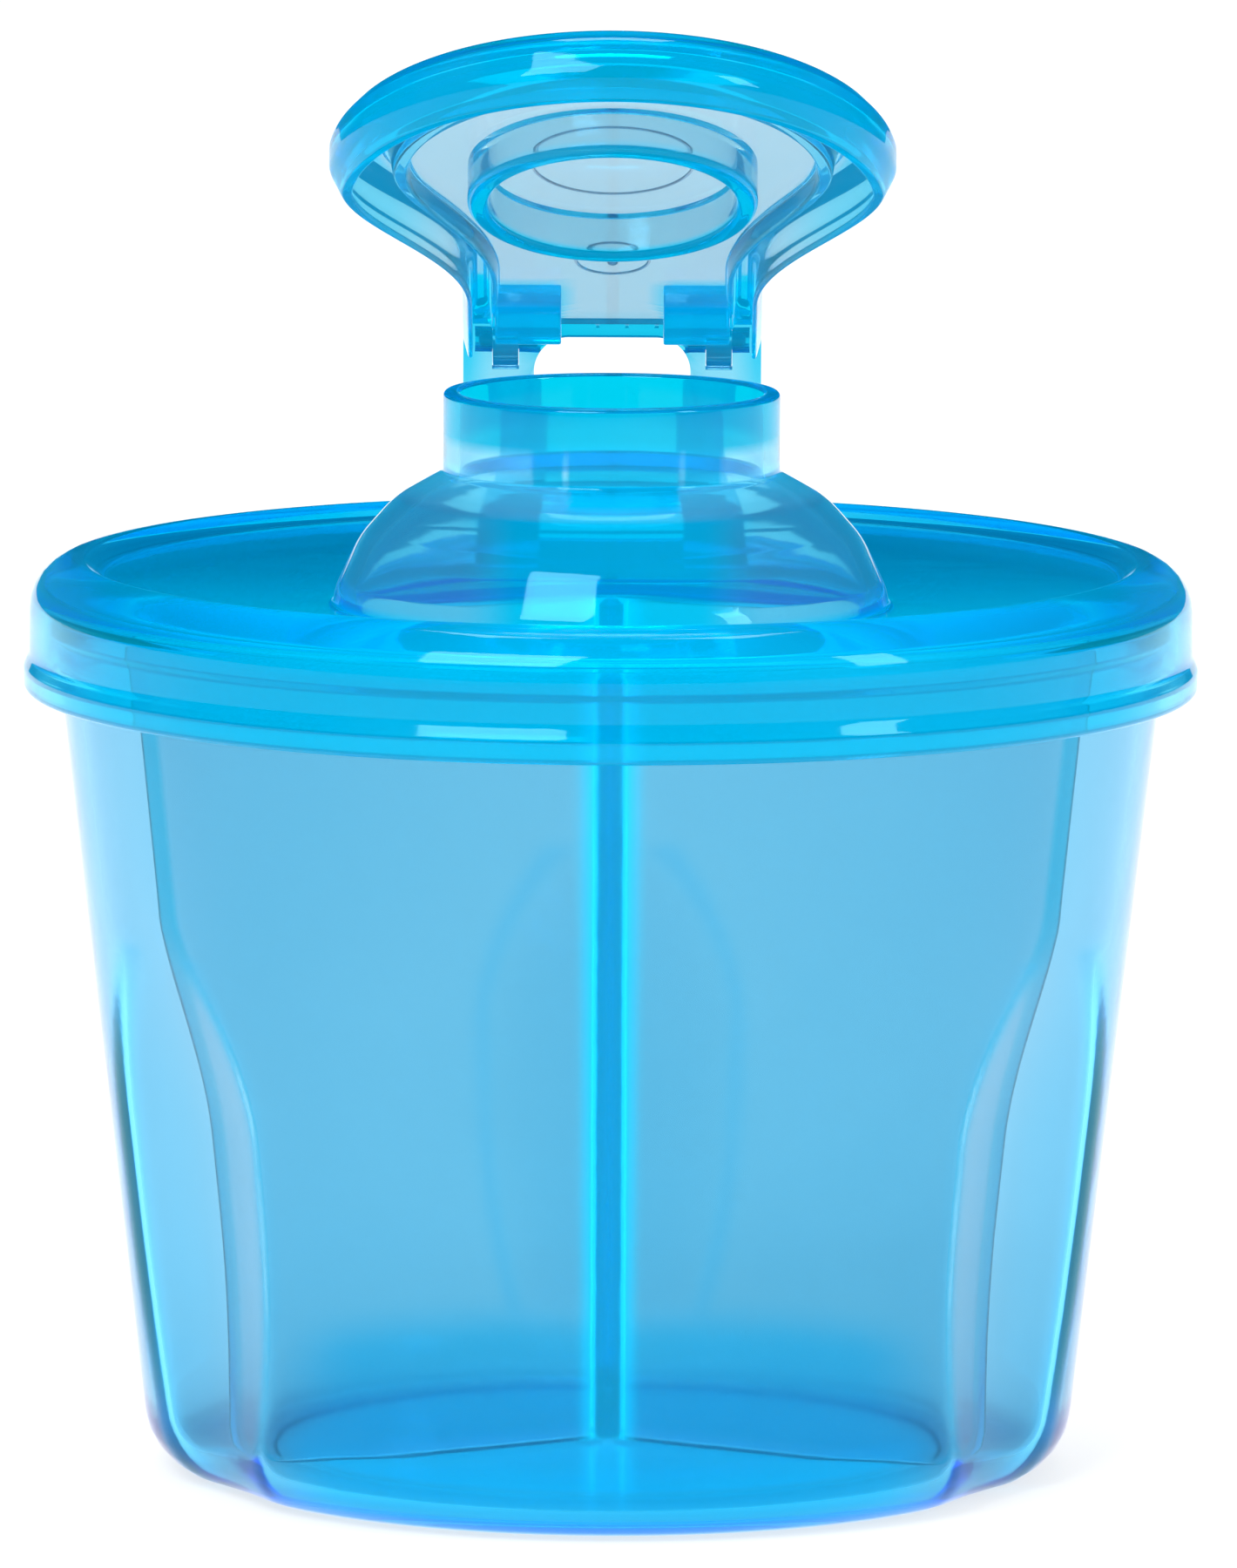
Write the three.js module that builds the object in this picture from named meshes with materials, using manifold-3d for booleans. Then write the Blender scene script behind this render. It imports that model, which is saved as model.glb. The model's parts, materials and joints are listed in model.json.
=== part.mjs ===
// Formula dispenser: a three-lobed bowl with a lift-out three-vane divider, a turning lid with an
// off-centre pouring spout, and a flip cap on a hinge behind the spout.
// Millimetres, +Z up. The origin is the middle of the base, where the bowl rests. The spout is at the
// front, which is -Y. The cap stands part open, as it is held while pouring.
import * as THREE from 'three';
import { mergeVertices } from 'three/addons/utils/BufferGeometryUtils.js';
import Module from 'manifold-3d';

// Driving dimensions
const fitGap = 0.3;                 // clearance between neighbouring pieces
const compartments = 3;
const firstVaneAngle = 90;          // degrees, the vane that points to the back

const wall = 1.6;                   // bowl and lid wall
const bowlRadiusAtBase = 42.4;      // outer radius of the tapered wall, carried down to z = 0
const bowlTaper = 0.1147;           // growth of the radius per millimetre of height
const bowlHeight = 80.6;
const floorRadius = 37;             // flat that the bowl rests on
const baseRoundHeight = 8;
const floorThickness = 2;
const fluteDepth = 3.2;             // the hollow pressed into the wall beside each vane
const fluteHalfAngle = 16;
const fluteFullHeight = 27;         // below this the flute gets shallower again
const fluteFadeStart = 34;
const fluteFadeLength = 26;
const rimBead = 0.45;

const vaneThickness = 1.2;
const postRadius = 1.8;

const lidUnderside = bowlHeight + 1;
const lidTop = lidUnderside + wall;
const lidLipBottom = bowlHeight - 8;
const lidLipRadius = 54.2;
const lidSkirtRadius = 53.6;
const lidCrestHeight = 1.3;         // the rolled edge stands this far above the flat top

const spoutCentreY = -22;
const domeRadius = 25.5;
const openingRadius = 23.6;
const openingMargin = 1;            // land kept on each side of the compartment's two vanes
const neckOuterRadius = 15.3;
const neckInnerRadius = 13.8;
const neckTop = lidTop + 19.4;

const stemReach = 42;               // hinge axis to the middle of the cap's disc
const hingeY = spoutCentreY + stemReach;
const hingeZ = neckTop + 0.1;
const capOpenAngle = 28.5;          // degrees from closed, as it stands
const capDiscRadius = 25.9;
const capStemHalfWidth = 13.9;
const capFlankStart = -45;          // the flank's ends, measured forward from the hinge axis
const capFlankEnd = -19;
const plateDiscRadius = 18.2;       // the sunk plate inside the rolled rim
const plateStemHalfWidth = 10.4;
const plateFlankStart = -42;
const plateFlankEnd = -17;
const capUnderside = 0.2;           // heights on the cap are measured from the hinge axis
const capPlateTop = 1.7;
const capCrest = 2.8;
const capSkirtBottom = -4.2;
const capSkirtWall = 1.5;
const capRootReach = 3.3;           // nearest the stem comes to the hinge axis
const bossInner = 4.75;             // the solid blocks under the stem's root
const bossReach = 12.3;
const bossBottom = -1.6;
const sealOuterRadius = 13.2;
const sealWall = 1.9;
const sealBottom = -4.4;

const bracketHalfWidth = 13.9;
const bracketHoleHalfWidth = 7.3;
const bracketThickness = 3.4;
const bracketTop = 2.2;             // above the hinge axis
const bridgeBottom = 0.4;           // above the hinge axis
const toothPitch = 2.75;            // three teeth on the bridge
const toothGap = 0.4;
const pinRadius = 0.9;
const pinInner = 7.0;               // distance of the pin's ends from the middle plane
const pinOuter = 12.5;
const lugInner = 9.0;
const lugOuter = 10.9;
const lugRadius = 2.1;

const roundSegments = 72;
const smallSegments = 48;
const pinSegments = 16;

const wasm = await Module();
wasm.setup();

const rad = THREE.MathUtils.degToRad;

function plastic(colour, roughness) {
  return new THREE.MeshStandardMaterial({ color: colour, roughness, metalness: 0 });
}
const bowlBlue = plastic(0x4fb3e3, 0.3);
const dividerBlue = plastic(0x2ba3df, 0.35);
const lidBlue = plastic(0x0a9bd8, 0.18);
const capBlue = plastic(0x18a2de, 0.2);
const sealBlue = plastic(0x5bb8e8, 0.35);

// A closed geometry becomes a solid that can be cut and joined.
function toSolid(geometry) {
  const bare = geometry.clone();
  bare.deleteAttribute('normal');
  bare.deleteAttribute('uv');
  const merged = mergeVertices(bare, 1e-4);
  const corners = merged.index.array;
  const kept = [];
  for (let i = 0; i < corners.length; i += 3) {
    const [a, b, c] = [corners[i], corners[i + 1], corners[i + 2]];
    if (a !== b && b !== c && c !== a) kept.push(a, b, c);
  }
  return new wasm.Manifold(new wasm.Mesh({
    numProp: 3,
    vertProperties: merged.attributes.position.array,
    triVerts: new Uint32Array(kept),
  }));
}

function toGeometry(solid) {
  const mesh = solid.getMesh();
  const geometry = new THREE.BufferGeometry();
  geometry.setAttribute('position', new THREE.BufferAttribute(new Float32Array(mesh.vertProperties), 3));
  geometry.setIndex(new THREE.BufferAttribute(new Uint32Array(mesh.triVerts), 1));
  geometry.computeVertexNormals();
  return geometry;
}

// Profile points are [radius, height]. They run anticlockwise round the material.
function turned(profile, segments) {
  const points = profile.map(([radius, height]) => new THREE.Vector2(radius, height));
  return new THREE.LatheGeometry(points, segments).rotateX(Math.PI / 2);
}

function box(x0, x1, y0, y1, z0, z1) {
  return new THREE.BoxGeometry(x1 - x0, y1 - y0, z1 - z0)
    .translate((x0 + x1) / 2, (y0 + y1) / 2, (z0 + z1) / 2);
}

// A flat outline in x and y, raised from height z0 to z1.
function raised(shape, z0, z1, curveSegments = 12) {
  return new THREE.ExtrudeGeometry(shape, { depth: z1 - z0, bevelEnabled: false, curveSegments })
    .translate(0, 0, z0);
}

// An upright outline in x and z, centred on the plane y = 0.
function standing(shape, thickness) {
  return new THREE.ExtrudeGeometry(shape, { depth: thickness, bevelEnabled: false, curveSegments: 8 })
    .translate(0, 0, -thickness / 2)
    .rotateX(Math.PI / 2);
}

// A rod along X.
function rodAlongX(radius, x0, x1) {
  return new THREE.CylinderGeometry(radius, radius, x1 - x0, pinSegments)
    .rotateZ(Math.PI / 2)
    .translate((x0 + x1) / 2, 0, 0);
}

function smoothStep(t) {
  const clamped = THREE.MathUtils.clamp(t, 0, 1);
  return clamped * clamped * (3 - 2 * clamped);
}

const bowlRadius = (z) => bowlRadiusAtBase + bowlTaper * z;

// Depth of a flute along its middle line: full low down, gone near the rim.
function fluteDepthAt(z) {
  const foot = 0.35 + 0.65 * Math.sin((Math.PI / 2) * Math.min(z / fluteFullHeight, 1));
  return fluteDepth * foot * (1 - smoothStep((z - fluteFadeStart) / fluteFadeLength));
}

// Depth of the wall's hollow at any angle: each flute is cut by a large upright cylinder.
function hollowAt(angle, z) {
  const pitch = 360 / compartments;
  const turns = (THREE.MathUtils.radToDeg(angle) - firstVaneAngle) / pitch;
  const offset = (turns - Math.round(turns)) * pitch;
  return Math.max(0, fluteDepthAt(z) - fluteDepth * (offset / fluteHalfAngle) ** 2);
}

function bowlGeometry() {
  const roundSteps = 5;
  const wallSteps = 11;
  const profile = [[0, 0]];
  for (let i = 0; i <= roundSteps; i += 1) {
    const t = (Math.PI / 2) * (i / roundSteps);
    const reach = bowlRadius(baseRoundHeight) - floorRadius;
    profile.push([floorRadius + reach * Math.sin(t), baseRoundHeight * (1 - Math.cos(t))]);
  }
  const wallTop = bowlHeight - 3;
  for (let i = 1; i <= wallSteps; i += 1) {
    const z = baseRoundHeight + (wallTop - baseRoundHeight) * (i / wallSteps);
    profile.push([bowlRadius(z), z]);
  }
  const rim = bowlRadius(bowlHeight);
  profile.push([rim + rimBead, bowlHeight - 1.8], [rim + rimBead, bowlHeight - 0.8]);
  profile.push([rim - 0.3, bowlHeight], [rim - wall + 0.3, bowlHeight]);
  profile.push([rim - wall, bowlHeight - 0.7]);
  const innerFoot = baseRoundHeight + 1;
  for (let i = wallSteps; i >= 0; i -= 1) {
    const z = innerFoot + (wallTop - innerFoot) * (i / wallSteps);
    profile.push([bowlRadius(z) - wall, z]);
  }
  const innerFloor = floorRadius - 1;
  for (let i = roundSteps - 1; i >= 0; i -= 1) {
    const t = (Math.PI / 2) * (i / roundSteps);
    const reach = bowlRadius(innerFoot) - wall - innerFloor;
    const drop = innerFoot - floorThickness;
    profile.push([innerFloor + reach * Math.sin(t), innerFoot - drop * Math.cos(t)]);
  }
  profile.push([0, floorThickness]);

  const geometry = turned(profile, roundSegments);
  const position = geometry.attributes.position;
  for (let i = 0; i < position.count; i += 1) {
    const x = position.getX(i);
    const y = position.getY(i);
    const z = position.getZ(i);
    const radius = Math.hypot(x, y);
    if (radius > 0) {
      const share = Math.min(radius / bowlRadius(z), 1);
      const scale = (radius - share * hollowAt(Math.atan2(y, x), z)) / radius;
      position.setXY(i, x * scale, y * scale);
    }
  }
  return geometry;
}

// The divider's vanes fill the bowl from the post to the bottoms of the flutes.
function dividerGeometry() {
  const bottom = floorThickness + fitGap;
  const top = bowlHeight + 0.4;
  const steps = 14;
  const edge = (z) => bowlRadius(z) - wall - fluteDepthAt(z) - 2 * fitGap;
  const cornerHeight = baseRoundHeight + 1.5;
  const vane = new THREE.Shape();
  vane.moveTo(0, bottom);
  vane.lineTo(floorRadius - fluteDepth - 2, bottom);
  for (let i = 0; i <= steps; i += 1) {
    const z = cornerHeight + (top - cornerHeight) * (i / steps);
    vane.lineTo(edge(z), z);
  }
  vane.lineTo(0, top);
  vane.closePath();

  let solid = toSolid(
    new THREE.CylinderGeometry(postRadius, postRadius, top - bottom, pinSegments)
      .rotateX(Math.PI / 2)
      .translate(0, 0, (top + bottom) / 2),
  );
  for (let i = 0; i < compartments; i += 1) {
    const angle = rad(firstVaneAngle + (i * 360) / compartments);
    solid = solid.add(toSolid(standing(vane, vaneThickness).rotateZ(angle)));
  }
  return toGeometry(solid);
}

// The part of a circle that lies over one compartment, clear of the vanes on both sides of it.
function openingSolid() {
  const round = new THREE.CylinderGeometry(openingRadius, openingRadius, 2 * wall + 2, smallSegments)
    .rotateX(Math.PI / 2)
    .translate(0, spoutCentreY, lidUnderside + wall / 2);
  const reach = bowlRadiusAtBase + 20;
  const halfAngle = Math.PI / compartments;
  const tip = -(openingMargin + vaneThickness / 2) / Math.sin(halfAngle);
  const sector = new THREE.Shape();
  sector.moveTo(0, tip);
  sector.lineTo(-reach * Math.sin(halfAngle), tip - reach * Math.cos(halfAngle));
  sector.lineTo(0, tip - 2 * reach);
  sector.lineTo(reach * Math.sin(halfAngle), tip - reach * Math.cos(halfAngle));
  sector.closePath();
  return toSolid(round).intersect(toSolid(raised(sector, lidUnderside - 5, lidTop + 5)));
}

function lidGeometry() {
  const crest = lidTop + lidCrestHeight;
  const inner = lidSkirtRadius - wall + 0.35;
  const cover = toSolid(turned([
    [0, lidUnderside],
    [inner - 1.2, lidUnderside],
    [inner, lidUnderside - 1.2],
    [inner, lidLipBottom + 2],
    [lidLipRadius - 1.5, lidLipBottom],
    [lidLipRadius - 0.3, lidLipBottom],
    [lidLipRadius, lidLipBottom + 0.4],
    [lidLipRadius, lidLipBottom + 1.9],
    [lidSkirtRadius + 0.15, lidLipBottom + 2.6],
    [lidSkirtRadius, crest - 3.6],
    [lidSkirtRadius - 0.5, crest - 1.9],
    [lidSkirtRadius - 1.5, crest - 0.6],
    [lidSkirtRadius - 2.7, crest],
    [lidSkirtRadius - 3.8, crest - 0.5],
    [lidSkirtRadius - 5, lidTop],
    [0, lidTop],
  ], roundSegments));
  const spout = toSolid(turned([
    [openingRadius, lidUnderside],
    [domeRadius, lidUnderside],
    [domeRadius, lidTop + 0.8],
    [domeRadius - 0.6, lidTop + 3.2],
    [domeRadius - 1.8, lidTop + 5.7],
    [domeRadius - 3.7, lidTop + 8.4],
    [domeRadius - 6.4, lidTop + 10.8],
    [neckOuterRadius + 0.9, lidTop + 12.3],
    [neckOuterRadius, lidTop + 13.4],
    [neckOuterRadius, neckTop - 0.4],
    [neckOuterRadius - 0.4, neckTop],
    [neckInnerRadius + 0.4, neckTop],
    [neckInnerRadius, neckTop - 0.4],
    [neckInnerRadius, lidTop + 12.4],
    [domeRadius - 7.7, lidTop + 9.7],
    [domeRadius - 5, lidTop + 7.4],
    [domeRadius - 3.2, lidTop + 4.9],
    [domeRadius - 2.1, lidTop + 2.6],
    [openingRadius, lidTop + 0.6],
    [openingRadius, lidUnderside],
  ], smallSegments).translate(0, spoutCentreY, 0));
  return toGeometry(cover.subtract(openingSolid()).add(spout));
}

// The arch that carries the cap's hinge: two legs, a bridge between them, and a slot in each leg for
// the cap's lug. Heights here are measured from the hinge axis.
function bracketGeometry() {
  const foot = lidTop + fitGap - hingeZ;
  const corner = 3.2;
  const arch = new THREE.Shape();
  arch.moveTo(-bracketHalfWidth, foot);
  arch.lineTo(-bracketHoleHalfWidth, foot);
  arch.lineTo(-bracketHoleHalfWidth, bridgeBottom - corner);
  arch.absarc(-bracketHoleHalfWidth + corner, bridgeBottom - corner, corner, Math.PI, Math.PI / 2, true);
  arch.absarc(bracketHoleHalfWidth - corner, bridgeBottom - corner, corner, Math.PI / 2, 0, true);
  arch.lineTo(bracketHoleHalfWidth, foot);
  arch.lineTo(bracketHalfWidth, foot);
  arch.lineTo(bracketHalfWidth, bracketTop - 0.8);
  arch.lineTo(bracketHalfWidth - 0.8, bracketTop);
  arch.lineTo(-bracketHalfWidth + 0.8, bracketTop);
  arch.lineTo(-bracketHalfWidth, bracketTop - 0.8);
  arch.closePath();

  let solid = toSolid(standing(arch, bracketThickness));
  const slotFloor = -lugRadius - 0.5;
  for (const side of [-1, 1]) {
    const edges = [side * (lugInner - fitGap), side * (lugOuter + fitGap)].sort((a, b) => a - b);
    const slot = box(edges[0], edges[1], -bracketThickness, bracketThickness, slotFloor, bracketTop + 1);
    const ends = [side * (pinInner - 1), side * (pinOuter + fitGap)].sort((a, b) => a - b);
    solid = solid.subtract(toSolid(slot)).subtract(toSolid(rodAlongX(pinRadius + fitGap, ends[0], ends[1])));
  }
  for (const step of [-1, 0, 1]) {
    const middle = step * toothPitch;
    solid = solid.subtract(toSolid(box(
      middle + (toothPitch - toothGap) / 2,
      middle + (toothPitch + toothGap) / 2,
      -bracketThickness,
      bracketThickness,
      bracketTop - 0.9,
      bracketTop + 1,
    )));
  }
  return toGeometry(solid);
}

function pinGeometry(side) {
  const rounding = 0.35;
  const length = pinOuter - pinInner;
  const profile = [
    [0, 0],
    [pinRadius - rounding / 2, 0],
    [pinRadius, rounding / 2],
    [pinRadius, length - rounding],
    [pinRadius - rounding, length],
    [0, length],
  ];
  return turned(profile, pinSegments)
    .rotateY(side * (Math.PI / 2))
    .translate(side * pinInner, 0, 0);
}

// The cap's outline: a disc that runs by a concave flank into a straight stem.
function capOutline(discRadius, stemHalf, flankStart, flankEnd, end) {
  const startAngle = Math.asin((stemReach + flankStart) / discRadius);
  const startX = discRadius * Math.cos(startAngle);
  const outline = new THREE.Shape();
  outline.moveTo(stemHalf, end);
  outline.lineTo(stemHalf, flankEnd);
  outline.bezierCurveTo(stemHalf + 0.3, flankEnd - 11, startX - 0.4, flankStart + 8, startX, flankStart);
  outline.absarc(0, -stemReach, discRadius, startAngle, -Math.PI - startAngle, true);
  outline.bezierCurveTo(-startX + 0.4, flankStart + 8, -stemHalf - 0.3, flankEnd - 11, -stemHalf, flankEnd);
  outline.lineTo(-stemHalf, end);
  outline.closePath();
  return outline;
}

function capGeometry() {
  const root = -capRootReach;
  const inset = (by, end) => capOutline(
    capDiscRadius - by,
    capStemHalfWidth - by,
    capFlankStart,
    capFlankEnd,
    end,
  );
  const pastRoot = 5;
  const plate = capOutline(plateDiscRadius, plateStemHalfWidth, plateFlankStart, plateFlankEnd, pastRoot);
  const curve = 16;

  let solid = toSolid(raised(inset(0, root), capSkirtBottom, capPlateTop - 0.4, curve))
    .add(toSolid(raised(inset(1, root), 0, capCrest - 0.6, curve)))
    .add(toSolid(raised(inset(2.2, root), 0, capCrest, curve)))
    .subtract(toSolid(raised(inset(capSkirtWall, pastRoot), capSkirtBottom - 1, capUnderside, curve)))
    .subtract(toSolid(raised(plate, capPlateTop, capCrest + 1, curve)));
  for (const side of [-1, 1]) {
    const bossEdges = [side * bossInner, side * lugOuter].sort((a, b) => a - b);
    const boss = box(bossEdges[0], bossEdges[1], -bossReach, root, bossBottom, capUnderside + 0.5);
    const lugEdges = [side * lugInner, side * lugOuter].sort((a, b) => a - b);
    const eye = rodAlongX(lugRadius, lugEdges[0], lugEdges[1]);
    const arm = box(lugEdges[0], lugEdges[1], root - 1, 0, bossBottom, capPlateTop - 0.1);
    const bore = rodAlongX(pinRadius + fitGap, lugEdges[0] - 1, lugEdges[1] + 1);
    solid = solid.add(toSolid(boss)).add(toSolid(eye)).add(toSolid(arm)).subtract(toSolid(bore));
  }
  return toGeometry(solid);
}

// The plug ring presses into the neck when the cap is closed.
function sealGeometry() {
  const top = capUnderside - fitGap;
  const inner = sealOuterRadius - sealWall;
  return turned([
    [inner, top],
    [inner, sealBottom + 0.4],
    [inner + 0.4, sealBottom],
    [sealOuterRadius - 0.6, sealBottom],
    [sealOuterRadius, sealBottom + 0.6],
    [sealOuterRadius, top],
    [inner, top],
  ], smallSegments).translate(0, -stemReach, 0);
}

function piece(name, geometry, material) {
  const mesh = new THREE.Mesh(geometry, material);
  mesh.name = name;
  return mesh;
}

const dispenser = new THREE.Group();
dispenser.add(piece('bowl', bowlGeometry(), bowlBlue));
dispenser.add(piece('divider', dividerGeometry(), dividerBlue));
dispenser.add(piece('lid', lidGeometry(), lidBlue));

const hinge = new THREE.Group();
hinge.position.set(0, hingeY, hingeZ);
hinge.add(piece('hinge_bracket', bracketGeometry(), lidBlue));
hinge.add(piece('hinge_pin_left', pinGeometry(-1), dividerBlue));
hinge.add(piece('hinge_pin_right', pinGeometry(1), dividerBlue));
dispenser.add(hinge);

const cap = new THREE.Group();
cap.rotation.x = -rad(capOpenAngle);
cap.add(piece('flip_cap', capGeometry(), capBlue));
cap.add(piece('cap_seal', sealGeometry(), sealBlue));
hinge.add(cap);

export default dispenser;
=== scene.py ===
import json
import math

import bmesh
import bpy
import numpy as np
from mathutils import Matrix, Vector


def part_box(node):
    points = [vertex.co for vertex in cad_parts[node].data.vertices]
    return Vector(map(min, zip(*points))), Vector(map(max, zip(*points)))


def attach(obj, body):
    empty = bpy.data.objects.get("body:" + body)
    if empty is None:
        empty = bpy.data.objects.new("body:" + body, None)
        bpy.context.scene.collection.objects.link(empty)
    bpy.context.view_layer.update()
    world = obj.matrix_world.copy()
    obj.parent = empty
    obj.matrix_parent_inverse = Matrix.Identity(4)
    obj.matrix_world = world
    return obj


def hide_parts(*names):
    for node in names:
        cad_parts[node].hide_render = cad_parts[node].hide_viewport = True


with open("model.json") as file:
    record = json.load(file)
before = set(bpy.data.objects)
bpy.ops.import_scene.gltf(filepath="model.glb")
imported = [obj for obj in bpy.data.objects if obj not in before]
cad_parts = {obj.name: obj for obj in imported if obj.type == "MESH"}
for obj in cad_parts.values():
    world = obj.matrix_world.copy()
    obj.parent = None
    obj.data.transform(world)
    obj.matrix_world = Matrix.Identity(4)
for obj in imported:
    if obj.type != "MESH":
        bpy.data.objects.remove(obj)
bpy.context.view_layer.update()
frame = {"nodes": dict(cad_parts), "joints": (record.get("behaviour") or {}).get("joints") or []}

mm = 0.001  # shapes are worked out in millimetres and leave meshOf in metres
print("frame loaded:", ", ".join(sorted(frame["nodes"])))


# Lowest and highest corner of a CAD node, in millimetres.
def cadBox(node):
    low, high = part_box(node)
    return np.array(low) / mm, np.array(high) / mm


bowlLow, bowlHigh = cadBox("bowl")
lidLow, lidHigh = cadBox("lid")
flip = next(joint for joint in frame["joints"] if joint["name"] == "cap_flip")
hingePlace = np.array(flip["pos_m"]) / mm

# what several pieces share
common = {
    "wall": 1.6,
    "taper": 0.1147,        # growth of the bowl's radius for each millimetre of height
    "baseRadius": 42.4,     # the bowl's outer wall carried down to the table
    "vaneAngles": (90, 210, 330),
    "spoutReach": 22,       # the spout's axis is this far in front of the lid's
    "stemReach": 42,        # hinge axis to the middle of the cap's disc
    "capTilt": 28.5,        # the cap stands this far open
    "segments": 360,
}


# Each corner is (x, y, radius). The path runs straight between corners and follows an arc of
# that radius round each one, from where it touches one straight line to where it touches the
# next.
def roundedPath(corners, closed=False, steps=7):
    points = np.array([corner[:2] for corner in corners], float)
    count = len(points)
    path = []
    for i, radius in enumerate(corner[2] for corner in corners):
        here = points[i]
        atEnd = not closed and i in (0, count - 1)
        if radius <= 0 or atEnd:
            path.append(here[None])
            continue
        back = points[i - 1] - here
        ahead = points[(i + 1) % count] - here
        back /= np.linalg.norm(back)
        ahead /= np.linalg.norm(ahead)
        if np.linalg.norm(back + ahead) < 1e-3:
            path.append(here[None])
            continue
        half = math.acos(np.clip(np.dot(back, ahead), -1, 1)) / 2
        middle = (back + ahead) / np.linalg.norm(back + ahead)
        centre = here + middle * radius / math.sin(half)
        start = here + back * radius / math.tan(half) - centre
        end = here + ahead * radius / math.tan(half) - centre
        turn = math.atan2(start[0] * end[1] - start[1] * end[0], np.dot(start, end))
        t = np.linspace(0, turn, steps)[:, None]
        side = np.array([-start[1], start[0]])
        path.append(centre + start * np.cos(t) + side * np.sin(t))
    return np.concatenate(path)


# The same path with straight stretches cut up so that no step is over longest.
def withSteps(path, longest, closed=False):
    ends = np.roll(path, -1, axis=0) if closed else path[1:]
    starts = path if closed else path[:-1]
    pieces = []
    for a, b in zip(starts, ends):
        count = max(1, math.ceil(np.linalg.norm(b - a) / longest))
        pieces.append(a + (b - a) * np.arange(count)[:, None] / count)
    if not closed:
        pieces.append(path[-1:])
    return np.concatenate(pieces)


# 0 up to t = 0, 1 from t = 1, and three t squared less two t cubed between them.
def smoothStep(t):
    t = np.clip(t, 0, 1)
    return t * t * (3 - 2 * t)


# Each profile point (radius, height) goes round a circle about an upright line through
# centre. Crowd times a sine of three times the angle is taken off the angle, which gathers the
# points round the three vane directions.
def turnedGrid(profile, segments, centre=(0, 0), crowd=0):
    angle = np.linspace(0, 2 * np.pi, segments, endpoint=False)[None]
    angle = angle - crowd * np.sin(3 * (angle - np.pi / 2)) / 3
    radius, height = profile[:, :1], profile[:, 1:]
    x = centre[0] + radius * np.cos(angle)
    y = centre[1] + radius * np.sin(angle)
    return np.stack([x, y, height + 0 * angle], axis=-1)


# Four corners of each face of a grid whose columns close round, and whose rows do if
# joinRows.
def quads(rows, columns, joinRows):
    row = np.arange(rows if joinRows else rows - 1)[:, None]
    column = np.arange(columns)[None]
    nextRow = (row + 1) % rows
    nextColumn = (column + 1) % columns
    corners = [row * columns + column, row * columns + nextColumn,
               nextRow * columns + nextColumn, nextRow * columns + column]
    return np.stack(corners, axis=-1).reshape(-1, 4)


# grids holds (points, joinRows) pairs. Each becomes a closed skin: points that fall together
# at a pole or a seam are merged, and the faces are turned outwards.
def meshOf(name, grids):
    allPoints, allFaces, used = [], [], 0
    for points, joinRows in grids:
        rows, columns = points.shape[:2]
        allPoints.append(points.reshape(-1, 3))
        allFaces.append(quads(rows, columns, joinRows) + used)
        used += rows * columns
    mesh = bpy.data.meshes.new(name)
    mesh.from_pydata((np.concatenate(allPoints) * mm).tolist(), [], np.concatenate(allFaces).tolist())
    work = bmesh.new()
    work.from_mesh(mesh)
    bmesh.ops.remove_doubles(work, verts=work.verts, dist=2e-6)
    bmesh.ops.dissolve_degenerate(work, edges=work.edges, dist=1e-7)
    bmesh.ops.recalc_face_normals(work, faces=work.faces)
    work.to_mesh(mesh)
    work.free()
    return mesh


def newObject(name, mesh):
    thing = bpy.data.objects.new(name, mesh)
    bpy.context.scene.collection.objects.link(thing)
    return thing


# Modifiers are applied, and edges sharper than the angle stay crisp.
def settled(thing, sharpAngle=40):
    view = bpy.context.evaluated_depsgraph_get()
    mesh = bpy.data.meshes.new_from_object(thing.evaluated_get(view))
    thing.modifiers.clear()
    thing.data = mesh
    mesh.shade_smooth()
    mesh.set_sharp_from_angle(angle=math.radians(sharpAngle))
    return thing


# Stores at each vertex how deep the colour looks, from 0 for a thin open wall to 1 for a thick
# one, partly the dye's depth and partly painted shade and painted highlight, and how much
# painted glow leaves it.
def setDepth(thing, depthOf):
    mesh = thing.data
    points = np.empty(len(mesh.vertices) * 3)
    mesh.vertices.foreach_get("co", points)
    x, y, z = points.reshape(-1, 3).T / mm
    depth, paintedGlow = depthOf(x, y, z)
    for name, values in (("depth", np.clip(depth, 0, 1)), ("paintedGlow", np.clip(paintedGlow, 0, 4))):
        layer = mesh.attributes.new(name, "FLOAT", "POINT")
        layer.data.foreach_set("value", values.astype(np.float32))


def finishPiece(thing, body, node, material, depthOf):
    setDepth(thing, depthOf)
    thing.data.materials.clear()
    thing.data.materials.append(material)
    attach(thing, body)
    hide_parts(node)
    print("piece:", thing.name, len(thing.data.polygons), "faces")


def newSocket(group, name, direction, kind, value=None):
    socket = group.interface.new_socket(name=name, in_out=direction, socket_type=kind)
    if value is not None:
        socket.default_value = value
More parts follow.
